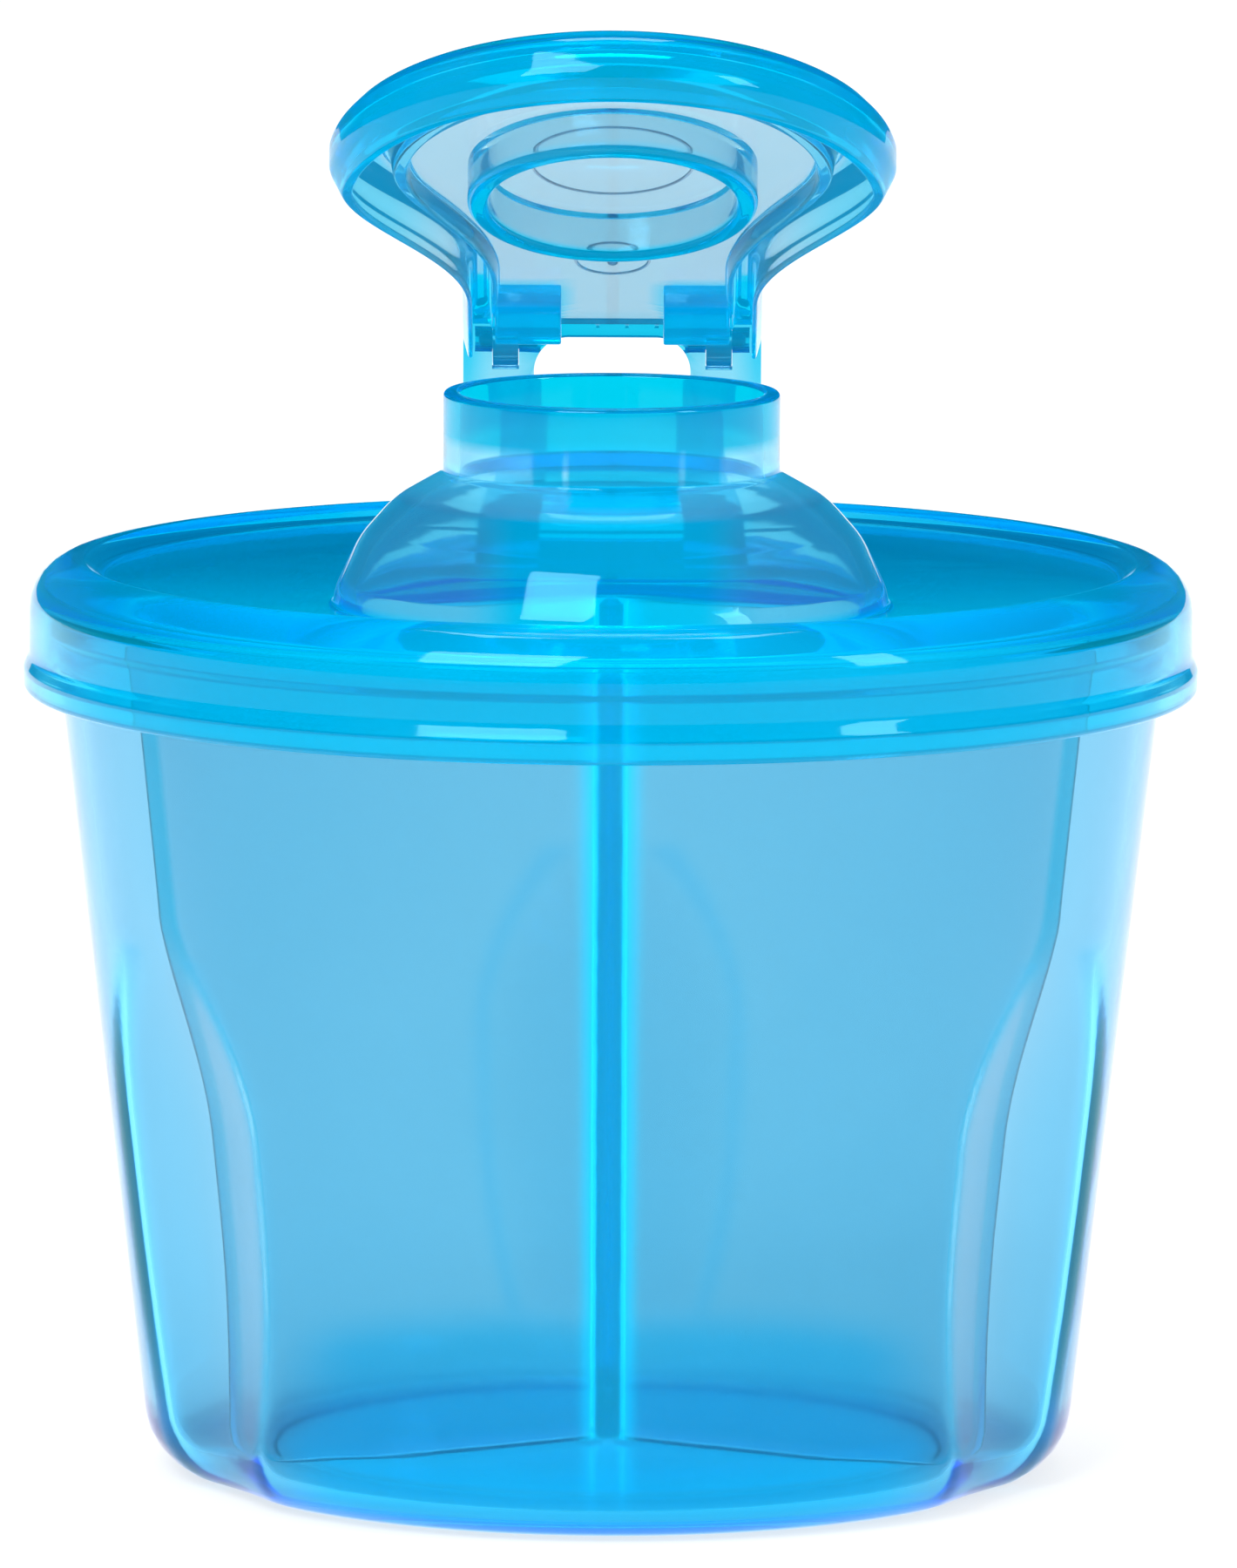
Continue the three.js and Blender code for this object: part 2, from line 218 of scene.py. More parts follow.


# What every moulding here shares: pigment that drifts a little in density, a gloss broken by
# handling marks, and a very fine ripple left by the flow of the melt.
# It also gives out a painted glow: the deep colour times how much glow is painted there.
def moulderSkin():
    group = bpy.data.node_groups.new("mouldedSkin", "ShaderNodeTree")
    newSocket(group, "Pale", "INPUT", "NodeSocketColor")
    newSocket(group, "Deep", "INPUT", "NodeSocketColor")
    newSocket(group, "Depth", "INPUT", "NodeSocketFloat", 0.5)
    newSocket(group, "Painted Glow", "INPUT", "NodeSocketFloat", 0.5)
    newSocket(group, "Drift Size", "INPUT", "NodeSocketFloat", 30.0)
    newSocket(group, "Gloss", "INPUT", "NodeSocketFloat", 0.06)
    newSocket(group, "Handling", "INPUT", "NodeSocketFloat", 0.05)
    newSocket(group, "Ripple", "INPUT", "NodeSocketFloat", 0.05)
    newSocket(group, "Color", "OUTPUT", "NodeSocketColor")
    newSocket(group, "Glow", "OUTPUT", "NodeSocketColor")
    newSocket(group, "Roughness", "OUTPUT", "NodeSocketFloat")
    newSocket(group, "Normal", "OUTPUT", "NodeSocketVector")
    nodes, links = group.nodes, group.links
    enter = nodes.new("NodeGroupInput")
    leave = nodes.new("NodeGroupOutput")
    place = nodes.new("ShaderNodeTexCoord")

    drift = nodes.new("ShaderNodeTexNoise")
    drift.inputs["Detail"].default_value = 3
    links.new(place.outputs["Object"], drift.inputs["Vector"])
    links.new(enter.outputs["Drift Size"], drift.inputs["Scale"])
    spread = nodes.new("ShaderNodeMapRange")
    spread.inputs["From Min"].default_value = 0.3
    spread.inputs["From Max"].default_value = 0.7
    spread.inputs["To Min"].default_value = -0.06
    spread.inputs["To Max"].default_value = 0.06
    links.new(drift.outputs["Fac"], spread.inputs["Value"])
    total = nodes.new("ShaderNodeMath")
    total.operation = "ADD"
    total.use_clamp = True
    links.new(spread.outputs["Result"], total.inputs[0])
    links.new(enter.outputs["Depth"], total.inputs[1])
    blend = nodes.new("ShaderNodeMix")
    blend.data_type = "RGBA"
    links.new(total.outputs["Value"], blend.inputs["Factor"])
    links.new(enter.outputs["Pale"], blend.inputs["A"])
    links.new(enter.outputs["Deep"], blend.inputs["B"])
    links.new(blend.outputs["Result"], leave.inputs["Color"])
    glow = nodes.new("ShaderNodeVectorMath")  # painted glow for light wandering inside thick plastic
    glow.operation = "SCALE"
    links.new(enter.outputs["Deep"], glow.inputs["Vector"])
    links.new(enter.outputs["Painted Glow"], glow.inputs["Scale"])
    links.new(glow.outputs["Vector"], leave.inputs["Glow"])

    smear = nodes.new("ShaderNodeTexNoise")
    smear.inputs["Scale"].default_value = 55
    smear.inputs["Detail"].default_value = 6
    smear.inputs["Distortion"].default_value = 1.2
    links.new(place.outputs["Object"], smear.inputs["Vector"])
    marks = nodes.new("ShaderNodeMapRange")
    marks.inputs["From Min"].default_value = 0.45
    marks.inputs["From Max"].default_value = 0.8
    links.new(smear.outputs["Fac"], marks.inputs["Value"])
    rubbed = nodes.new("ShaderNodeMath")
    rubbed.operation = "MULTIPLY_ADD"
    links.new(marks.outputs["Result"], rubbed.inputs[0])
    links.new(enter.outputs["Handling"], rubbed.inputs[1])
    links.new(enter.outputs["Gloss"], rubbed.inputs[2])
    links.new(rubbed.outputs["Value"], leave.inputs["Roughness"])

    flow = nodes.new("ShaderNodeTexNoise")
    flow.inputs["Scale"].default_value = 140
    flow.inputs["Detail"].default_value = 2
    links.new(place.outputs["Object"], flow.inputs["Vector"])
    bump = nodes.new("ShaderNodeBump")
    bump.inputs["Distance"].default_value = 0.0004
    links.new(enter.outputs["Ripple"], bump.inputs["Strength"])
    links.new(flow.outputs["Fac"], bump.inputs["Height"])
    links.new(bump.outputs["Normal"], leave.inputs["Normal"])
    return group


skinGroup = moulderSkin()


# Dyed see-through plastic. Each face takes its share of the dye's colour, with painted shade
# and highlight mixed in where a piece paints them, and the depth of the material takes the rest.
# Faces also give off the skin's painted glow, and faces turned edge-on are painted pale and
# given painted rim light.
def clearPlastic(name, look):
    material = bpy.data.materials.new(name)
    material.use_nodes = True
    nodes, links = material.node_tree.nodes, material.node_tree.links
    shader = nodes["Principled BSDF"]
    shader.inputs["Transmission Weight"].default_value = look["clear"]
    shader.inputs["IOR"].default_value = look["bend"]
    shader.inputs["Metallic"].default_value = 0
    shader.inputs["Specular Tint"].default_value = (*look["sheen"], 1)
    # strength of the painted glow and the painted rim light
    shader.inputs["Emission Strength"].default_value = look["glow"]
    skin = nodes.new("ShaderNodeGroup")
    skin.node_tree = skinGroup
    for layerName, socket in (("depth", "Depth"), ("paintedGlow", "Painted Glow")):
        layer = nodes.new("ShaderNodeAttribute")
        layer.attribute_name = layerName
        links.new(layer.outputs["Fac"], skin.inputs[socket])
    skin.inputs["Pale"].default_value = (*look["pale"], 1)
    skin.inputs["Deep"].default_value = (*look["deep"], 1)
    skin.inputs["Drift Size"].default_value = look["driftSize"]
    skin.inputs["Gloss"].default_value = look["gloss"]
    skin.inputs["Handling"].default_value = look["handling"]
    skin.inputs["Ripple"].default_value = look["ripple"]
    edge = nodes.new("ShaderNodeLayerWeight")  # painted pale outlines and painted rim light where faces turn edge-on
    edge.inputs["Blend"].default_value = 0.5
    narrow = nodes.new("ShaderNodeMapRange")
    narrow.inputs["From Min"].default_value = look["outline"]
    narrow.inputs["From Max"].default_value = 1
    narrow.inputs["To Max"].default_value = 0.85
    links.new(edge.outputs["Facing"], narrow.inputs["Value"])
    # painted highlight: edge-on faces are mixed towards near white
    pale = nodes.new("ShaderNodeMix")
    pale.data_type = "RGBA"
    pale.inputs["B"].default_value = (0.92, 0.97, 1.0, 1)
    links.new(narrow.outputs["Result"], pale.inputs["Factor"])
    links.new(skin.outputs["Color"], pale.inputs["A"])
    links.new(pale.outputs["Result"], shader.inputs["Base Color"])
    # painted rim light: emission that grows as faces turn edge-on
    rim = nodes.new("ShaderNodeVectorMath")
    rim.operation = "SCALE"
    rim.inputs["Vector"].default_value = look["rimLight"]
    links.new(narrow.outputs["Result"], rim.inputs["Scale"])
    light = nodes.new("ShaderNodeVectorMath")
    light.operation = "ADD"
    links.new(skin.outputs["Glow"], light.inputs[0])
    links.new(rim.outputs["Vector"], light.inputs[1])
    links.new(light.outputs["Vector"], shader.inputs["Emission Color"])
    links.new(skin.outputs["Roughness"], shader.inputs["Roughness"])
    links.new(skin.outputs["Normal"], shader.inputs["Normal"])
    if look["density"] > 0:
        dye = nodes.new("ShaderNodeVolumeAbsorption")
        dye.inputs["Color"].default_value = (*look["dye"], 1)
        dye.inputs["Density"].default_value = look["density"]
        links.new(dye.outputs["Volume"], nodes["Material Output"].inputs["Volume"])
    return material


bowlPlastic = clearPlastic("bowlPlastic", {
    "pale": (0.79, 0.86, 0.92), "deep": (0.0, 0.56, 0.75), "driftSize": 18,
    "gloss": 0.05, "handling": 0.05, "ripple": 0.05, "clear": 1.0, "bend": 1.33,
    "sheen": (0.3, 0.8, 1.0), "outline": 0.82, "rimLight": (1.2, 1.15, 1.5), "glow": 0.12,
    "dye": (0.0, 0.76, 0.965), "density": 290,
})
dividerPlastic = clearPlastic("dividerPlastic", {
    "pale": (0.72, 0.88, 0.93), "deep": (0.0, 0.60, 0.72), "driftSize": 25,
    "gloss": 0.08, "handling": 0.05, "ripple": 0.05, "clear": 0.88, "bend": 1.33,
    "sheen": (0.2, 0.8, 1.0), "outline": 0.95, "rimLight": (0.0, 0.2, 0.3), "glow": 0.4,
    "dye": (0.0, 0.85, 0.96), "density": 200,
})
lidPlastic = clearPlastic("lidPlastic", {
    "pale": (0.86, 0.94, 0.98), "deep": (0.0, 0.56, 0.72), "driftSize": 20,
    "gloss": 0.04, "handling": 0.05, "ripple": 0.04, "clear": 0.96, "bend": 1.42,
    "sheen": (0.3, 0.8, 1.0), "outline": 0.93, "rimLight": (1.1, 1.3, 1.6), "glow": 0.13,
    "dye": (0.0, 0.80, 0.955), "density": 270,
})
capPlastic = clearPlastic("capPlastic", {
    "pale": (0.81, 0.87, 0.93), "deep": (0.0, 0.56, 0.76), "driftSize": 30,
    "gloss": 0.04, "handling": 0.05, "ripple": 0.04, "clear": 0.87, "bend": 1.4,
    "sheen": (0.3, 0.8, 1.0), "outline": 0.9, "rimLight": (0.5, 1.0, 1.2), "glow": 0.2,
    "dye": (0.0, 0.80, 0.96), "density": 200,
})
sealPlastic = clearPlastic("sealPlastic", {
    "pale": (0.84, 0.93, 0.96), "deep": (0.0, 0.60, 0.82), "driftSize": 40,
    "gloss": 0.05, "handling": 0.04, "ripple": 0.04, "clear": 0.96, "bend": 1.4,
    "sheen": (0.3, 0.8, 1.0), "outline": 0.9, "rimLight": (0.4, 0.8, 1.0), "glow": 0.22,
    "dye": (0.0, 0.80, 0.95), "density": 140,
})
pinPlastic = clearPlastic("pinPlastic", {
    "pale": (0.0, 0.46, 0.68), "deep": (0.0, 0.44, 0.62), "driftSize": 90,
    "gloss": 0.15, "handling": 0.1, "ripple": 0.08, "clear": 0.3, "bend": 1.4,
    "sheen": (0.3, 0.8, 1.0), "outline": 0.95, "rimLight": (0.0, 0.2, 0.3), "glow": 0.35,
    "dye": (0.0, 0.78, 0.96), "density": 0,
})
print("materials made")


bowl = {
    "height": bowlHigh[2],
    "floor": 2.0,
    "baseRound": 6.0,
    "innerRound": 4.6,
    "footInset": 4.2,       # the resting ring's inner edge, in from where the base starts to round
    "footRise": 0.5,
    "bead": 0.45,
    "fluteDepth": 3.2,
    "fluteHalfAngle": 16,
    "fluteFullHeight": 27,
    "fluteFadeStart": 34,
    "fluteFadeLength": 26,
    "fluteEdge": 0.45,      # how softly the flute's edge turns into the wall
    "rowStep": 1.1,         # longest step of the mesh up the wall
    "crowd": 0.75,          # how much of the mesh gathers at the flutes, 0 for none
    "deepFloor": 34,        # radius inside which the floor looks deep
    "wallStart": 30,        # radius past which a point is on the wall
    "creaseSpread": 0.35,   # width of a flute's crease, as a depth of the hollow
    "sideSpread": 0.7,
    "floorLight": 2.2,      # painted glow in the floor, foot, creases and the flutes' outer sides
    "footLight": 1.6,
    "creaseLight": 0.5,
    "sideLight": 2.6,
}


# The outer wall is a cone: the radius at the table, and the taper times the height.
def bowlRadius(z):
    return common["baseRadius"] + common["taper"] * z


# Depth of a flute along its middle: a quarter sine up from the foot, then a smooth fade.
def fluteMiddle(z):
    foot = 0.35 + 0.65 * np.sin(np.pi / 2 * np.clip(z / bowl["fluteFullHeight"], 0, 1))
    fade = smoothStep((z - bowl["fluteFadeStart"]) / bowl["fluteFadeLength"])
    return bowl["fluteDepth"] * foot * (1 - fade) - 0.5 * fade


# Degrees from the middle of the nearest flute.
def fluteAcross(angle):
    pitch = 360 / len(common["vaneAngles"])
    return (angle - common["vaneAngles"][0] + pitch / 2) % pitch - pitch / 2


# Depth of the hollow at any angle in degrees: the middle depth less a parabola across the
# flute, cut off at the wall by a smooth maximum.
def fluteHollow(angle, z):
    raw = fluteMiddle(z) - bowl["fluteDepth"] * (fluteAcross(angle) / bowl["fluteHalfAngle"]) ** 2
    return (raw + np.sqrt(raw * raw + bowl["fluteEdge"] ** 2)) / 2


# The wall's half section is turned round. The flutes then push it in by their hollow, times the
# square of the distance from the middle as a share of the outer radius.
def bowlMesh():
    top = bowl["height"]
    wall = common["wall"]
    rim = bowlRadius(top)
    bead = rim + bowl["bead"]
    flatEdge = common["baseRadius"] - bowl["baseRound"]
    foot = flatEdge - bowl["footInset"]
    rise = bowl["footRise"]
    floor = bowl["floor"]
    profile = roundedPath([
        (0, rise, 0),
        (foot - 0.8, rise, 0.8),
        (foot, 0, 0.8),
        (bowlRadius(0), 0, bowl["baseRound"]),
        (bowlRadius(top - 2.6), top - 2.6, 0.8),
        (bead, top - 1.9, 0.5),
        (bead, top - 0.5, 0.45),
        (rim - 0.3, top, 0.35),
        (rim - wall, top, 0.4),
        (bowlRadius(floor) - wall, floor, bowl["innerRound"]),
        (0, floor, 0),
    ])
    grid = turnedGrid(withSteps(profile, bowl["rowStep"]), common["segments"], crowd=bowl["crowd"])
    x, y, z = grid[..., 0], grid[..., 1], grid[..., 2]
    radius = np.hypot(x, y)
    share = np.clip(radius / bowlRadius(z), 0, 1) ** 2
    hollow = share * fluteHollow(np.degrees(np.arctan2(y, x)), z)
    grid[..., :2] *= (1 - hollow / np.maximum(radius, 1))[..., None]
    return meshOf("bowl_shell", [(grid, False)])


bowlShell = settled(newObject("bowl_shell", bowlMesh()))


# The floor looks deep, and the creases where a flute's sides leave the wall are painted deep as
# painted shade. A crease is a bell curve of how deep the hollow would be there, and the rest are
# smooth steps. The foot is painted deep at the front and back as painted shade, the wall is a
# little darker towards the bottom, and painted glow goes to the floor, foot, creases and the
# flutes' outer sides.
def bowlDepth(x, y, z):
    radius = np.hypot(x, y)
    onWall = radius > bowl["wallStart"]
    middle = fluteMiddle(z)
    across = fluteAcross(np.degrees(np.arctan2(y, x))) / bowl["fluteHalfAngle"]
    raw = middle - bowl["fluteDepth"] * across ** 2
    floor = smoothStep((bowl["deepFloor"] - radius) / 6) * (z < bowl["floor"] + 1)
    # painted shade: each crease is painted deep, and it also gets painted glow
    crease = np.exp(-(raw / bowl["creaseSpread"]) ** 2) * (middle > 0.4) * onWall
    # painted glow along the flutes' outer sides
    side = np.exp(-((raw + 0.2) / bowl["sideSpread"]) ** 2) * smoothStep(middle / 2.4) * onWall
    side = side * smoothStep((0.5 * radius - np.abs(y)) / 4)
    flute = np.clip(raw / bowl["fluteDepth"], 0, 1) ** 0.5 * onWall
    # painted shade: the foot is painted deep low down at the front and back
    foot = 0.7 * smoothStep((9 - z) / 5) * (1 - smoothStep((np.abs(x) - 24) / 10))
    # a little darker towards the bottom
    low = 0.12 * smoothStep((40 - z) / 40)
    depth = np.max([0.8 * floor, 0.35 * crease, foot, 0.28 * flute], axis=0) + low
    lights = [bowl["floorLight"] * floor, bowl["creaseLight"] * crease, bowl["footLight"] * foot,
              bowl["sideLight"] * side]
    return depth, np.max(lights, axis=0) + 0.3 * low


finishPiece(bowlShell, "base", "bowl", bowlPlastic, bowlDepth)


divider = {
    "post": 1.8,
    "halfVane": 0.6,
    "gap": 0.6,
    "top": bowl["height"] + 0.4,
    "bottom": bowl["floor"] + 0.3,
    "endBand": 1.5,         # the strip along a vane's end that looks deep
    "postLight": 1.25,
    "endLight": 0.3,
}


# How far a vane reaches at each height: the inside of the bowl along a flute's middle, less a
# gap, and less a quarter circle at the foot.
def vaneReach(z):
    wall = bowlRadius(z) - common["wall"] - np.maximum(fluteMiddle(z), 0) - divider["gap"]
    round_ = bowl["innerRound"]
    below = np.clip(1 - (z - divider["bottom"]) / round_, 0, 1)
    return wall - round_ * (1 - np.sqrt(np.clip(1 - below ** 2, 0, 1)))


# A flat outline of three vanes round a post, carried up the height. The vanes' ends move with
# vaneReach, and the top and bottom edges close over in a half round as the thickness goes to
# nothing.
def dividerMesh():
    edge = divider["halfVane"]
    turn = np.linspace(0, np.pi / 2, 7)
    low = divider["bottom"] + edge * (1 - np.cos(turn))
    high = divider["top"] - edge * (1 - np.cos(turn[::-1]))
    z = np.concatenate([low, np.linspace(low[-1], high[0], 70)[1:-1], high])
    thin = np.concatenate([np.sin(turn), np.ones(68), np.sin(turn[::-1])])

    # one vane's outline: post arc, side, round end, side, post arc, as (along, across)
    meet = math.asin(edge / divider["post"])
    arc = np.linspace(-np.pi / 3, -meet, 6)
    side = np.concatenate([np.linspace(0, 0.94, 20)[1:], np.linspace(0.945, 1, 10)])
    end = np.linspace(-np.pi / 2, np.pi / 2, 9)[1:-1]
    start = divider["post"] * math.cos(meet)
    grids = []
    for angle in np.radians(common["vaneAngles"]):
        reach = (vaneReach(z) - edge)[:, None]
        onArc = divider["post"] * np.cos(arc) * thin[:, None]
        arcAcross = np.broadcast_to(divider["post"] * np.sin(arc), onArc.shape)
        alongSide = start + (reach - start) * side
        sideAcross = np.full(alongSide.shape, -edge)
        alongEnd = reach + edge * np.cos(end)
        endAcross = np.broadcast_to(edge * np.sin(end), alongEnd.shape)
        arcBack, arcAcrossBack = onArc[:, ::-1][:, :-1], -arcAcross[:, ::-1][:, :-1]
        along = np.concatenate([onArc, alongSide, alongEnd, alongSide[:, ::-1], arcBack], axis=1)
        across = np.concatenate([arcAcross, sideAcross, endAcross, -sideAcross, arcAcrossBack], axis=1)
        across = across * thin[:, None]
        x = along * math.cos(angle) - across * math.sin(angle)
        y = along * math.sin(angle) + across * math.cos(angle)
        grids.append(np.stack([x, y, np.broadcast_to(z[:, None], x.shape)], axis=-1))
    return meshOf("divider_insert", [(np.concatenate(grids, axis=1), False)])


dividerInsert = settled(newObject("divider_insert", dividerMesh()), 50)


# The post and the vanes' ends look deep: smooth steps of the distance from the post's middle
# and from the end of the vane.
def dividerDepth(x, y, z):
    radius = np.hypot(x, y)
    post = smoothStep((divider["post"] + 1.2 - radius) / 1.0)
    end = smoothStep((radius - vaneReach(z) + divider["endBand"]) / 0.5)
    # painted glow from the post and the vanes' ends
    return np.maximum(post, end), np.maximum(divider["postLight"] * post, divider["endLight"] * end)


finishPiece(dividerInsert, "insert", "divider", dividerPlastic, dividerDepth)


lid = {
    "lipBottom": lidLow[2],
    "lipRadius": lidHigh[0],
    "skirt": lidHigh[0] - 0.6,
    "neckTop": lidHigh[2],
    "underside": bowl["height"] + 1,
    "crest": 1.35,          # the rolled edge over the flat top
    "crestRound": 4.4,
    "dome": 25.3,
    "neck": 15.3,
    "bore": 13.8,
    "opening": 23.4,
    "land": 1.0,            # plate left on each side of the compartment's two vanes
    "windowTop": 3.8,       # the part of the neck painted pale, as distances down from its top
    "windowFoot": 10.5,
    "blocks": [             # painted deep blocks at the neck's front: middle, half width, reach down
        (1.1, 5.1, 9.2), (-5.7, 1.5, 7.3), (8.2, 1.8, 7.3)],
    "plateLight": ([-50, -35, 0, 25], [2.5, 1.5, 0.4, 0.15]),  # painted glow from the front to the back
    "skirtLight": 1.4,
    "lipLight": 0.5,
    "rimLight": 1.1,
}


# Distance from the spout's axis to the edge of the opening: a circle, cut off by the two
# lines that keep it over one compartment, with the corners softened.
def openingReach(angle):
    reach = np.full(angle.shape, float(lid["opening"]))
    land = lid["land"] + divider["halfVane"]
    for vane in np.radians([common["vaneAngles"][1], common["vaneAngles"][2]]):
        across = np.array([-math.sin(vane), math.cos(vane)])
        across = across if across[1] > 0 else -across
        room = -land + common["spoutReach"] * across[1]
        slope = np.cos(angle) * across[0] + np.sin(angle) * across[1]
        line = np.where(slope > 0.05, room / np.maximum(slope, 0.05), 1e3)
        soft = 12
        reach = (reach ** -soft + line ** -soft) ** (-1 / soft)
    return reach


# One skin that closes on itself: under the plate, down inside the skirt, round the lip, up
# the outside, over the rolled edge, across the top to the dome, up the neck, down its bore,
# and out again over the edge of the opening. Flat stretches between two unlike outlines are
# straight blends.
def lidMesh():
    segments = common["segments"]
    angle = np.linspace(0, 2 * np.pi, segments, endpoint=False)
    circle = np.stack([np.cos(angle), np.sin(angle)], axis=-1)
    centre = np.array([0, -common["spoutReach"]])
    under, top = lid["underside"], lid["underside"] + common["wall"]
    crest = top + lid["crest"]
    skirt, inner = lid["skirt"], lid["skirt"] - common["wall"] + 0.35
    lipBottom, lipRadius = lid["lipBottom"], lid["lipRadius"]
    cover = roundedPath([
        (inner - 3, under, 0),
        (inner, under, 1.2),
        (inner, lipBottom + 2.4, 0.6),
        (lipRadius - 1.5, lipBottom + 1.7, 0.6),
        (lipRadius - 1.5, lipBottom, 0.35),
        (lipRadius, lipBottom, 0.7),
        (lipRadius, lipBottom + 2.2, 1.0),
        (skirt + 0.1, lipBottom + 3.4, 1.6),
        (skirt, crest, lid["crestRound"]),
        (skirt - lid["crestRound"] - 0.6, crest, 0.5),
        (skirt - lid["crestRound"] - 2.2, top, 1.2),
        (skirt - lid["crestRound"] - 2.9, top, 0),
    ])
    spoutTop = lid["neckTop"]
    dome, neck, bore = lid["dome"], lid["neck"], lid["bore"]
    spout = roundedPath([
        (dome + 0.9, top, 0),
        (dome, top, 0.5),
        (dome - 0.35, top + 1.6, 4),
        (dome - 2.4, top + 6.0, 9),
        (dome - 5.6, top + 9.6, 9),
        (neck, top + 12.1, 0.5),
        (neck, spoutTop, 0.45),
        (neck - 1.5, spoutTop, 0.35),
        (bore, spoutTop - 0.5, 0.5),
        (bore, top + 11.3, 1.5),
        (dome - 6.7, top + 8.4, 8),
        (dome - 3.8, top + 5.2, 8),
        (lid["opening"], top + 1.2, 3),
        (lid["opening"], top - 0.3, 0),
    ])
    cover = turnedGrid(withSteps(cover, 1.2), segments)
    spout = turnedGrid(withSteps(spout, 1.2), segments, centre)
    opening = centre + circle * openingReach(angle)[:, None]

    def loop(outline, z):
        return np.concatenate([outline, np.full((segments, 1), z)], axis=1)

    def between(first, last, count):
        share = np.linspace(0, 1, count + 2)[1:-1, None, None]
        return first + (last - first) * share

    edgeTop = loop(opening, top - 0.35)
    edgeBottom = loop(opening, under + 0.3)
    underEdge = loop(centre + (opening - centre) * 1.012, under)
    rows = [
        underEdge[None],
        between(underEdge, cover[0], 14),
        cover,
        between(cover[-1], spout[0], 14),
        spout,
        between(spout[-1], edgeTop, 3),
        edgeTop[None],
        between(edgeTop, edgeBottom, 2),
        edgeBottom[None],
    ]
    return meshOf("lid_cover", [(np.concatenate(rows), True)])


lidCover = settled(newObject("lid_cover", lidMesh()))


# The flat top, the skirt and the dome look deep. The neck is painted pale between its top band
# and its foot, a painted image of what is seen through it, but for a painted deep block at the
# front and one to each side of it. The dome's shoulders are paler as a painted highlight, and so
# is the rolled edge, which fades out towards the front. The left and right ends are paler. A
# painted glow is strongest at the front of the plate and on the skirt and lip.
def lidDepth(x, y, z):
    radius = np.hypot(x, y)
    fromSpout = np.hypot(x, y + common["spoutReach"])
    top = lid["underside"] + common["wall"]
    down = lid["neckTop"] - z
    # painted deep blocks, an image of parts seen through the neck
    block = 0 * x
    for middle, half, reach in lid["blocks"]:
        inside = smoothStep((half - np.abs(x - middle)) / 0.3) * smoothStep((reach - down) / 0.3)
        block = np.maximum(block, inside)
    # painted pale windows, an image of what is seen through the neck
    window = smoothStep((down - lid["windowTop"]) / 0.5) * smoothStep((lid["windowFoot"] - down) / 1.5)
    window = window * (fromSpout < lid["neck"] + 4) * (1 - block * (y < -common["spoutReach"]))
    onSpout = (fromSpout < lid["dome"] + 0.6) & (z > top + 0.5)
    onNeck = fromSpout < lid["neck"] + 0.5
    # painted highlight on the dome's shoulders
    shoulder = smoothStep((np.abs(x) - 8) / 6) * (1 - onNeck)
    # paler towards the left and right ends
    ends = 0.32 * smoothStep((np.abs(x) - lid["skirt"] + 9) / 9)
    # painted highlight along the rolled edge, fading out towards the front
    rolled = smoothStep((radius - lid["skirt"] + 3.4) / 1.4) * smoothStep((z - top + 3) / 1.5)
    rolled = rolled * smoothStep((y + 22) / 25)
    depth = 1 - np.max([0.5 * onSpout * shoulder, 0.95 * window, ends, 0.8 * rolled], axis=0)

    # painted glow: strongest at the front of the plate, then on the skirt, lip and rolled edge
    plate = np.interp(y, *lid["plateLight"])
    skirt = smoothStep((top - 1.8 - z) / 2)
    lip = smoothStep((lid["lipBottom"] + 2.6 - z) / 0.6)
    onSkirt = (lid["skirtLight"] + lid["lipLight"] * lip) * skirt * (1 - 1.4 * ends)
    paintedGlow = plate * (1 - skirt) + onSkirt + lid["rimLight"] * rolled
    paintedGlow = np.where(onSpout, 1.5 - shoulder - 0.9 * onNeck, paintedGlow) * (1 - window)
    # painted glow in a band between 6.3 and 9.8 below the neck's top
    foot = smoothStep((down - 6.3) / 0.6) * smoothStep((9.8 - down) / 1.5)
    return depth, paintedGlow + onSpout * foot


finishPiece(lidCover, "top", "lid", lidPlastic, lidDepth)


# A copy of a CAD node, its loose triangles merged into flat faces and its edges rounded.
def roundedCopy(name, node, width):
    source = frame["nodes"][node]
    thing = newObject(name, source.data.copy())
    work = bmesh.new()
    work.from_mesh(thing.data)
    bmesh.ops.remove_doubles(work, verts=work.verts, dist=1e-6)
    bmesh.ops.dissolve_limit(work, angle_limit=math.radians(1), verts=work.verts, edges=work.edges)
    work.to_mesh(thing.data)
    work.free()
    soft = thing.modifiers.new("edges", "BEVEL")
    soft.width = width * mm
    soft.segments = 3
    soft.limit_method = "ANGLE"
    soft.angle_limit = math.radians(35)
    return settled(thing)


hingeArch = roundedCopy("hinge_arch", "hinge_bracket", 0.3)


# The legs are pale, the bridge is deep and gives off painted glow, and its three teeth are
# darker still, as they get none of that glow.
def archDepth(x, y, z):
    bridge = smoothStep((z - hingePlace[2] + 3) / 2.5)
    teeth = (np.abs(x) < 4.4) * smoothStep((z - hingePlace[2] - 1.2) / 0.3)
    return 0.32 + 0.68 * bridge, 0.9 * bridge * (1 - teeth)


finishPiece(hingeArch, "top", "hinge_bracket", lidPlastic, archDepth)

pin = {"radius": 0.9, "inner": 7.0, "outer": 12.5, "end": 0.45}


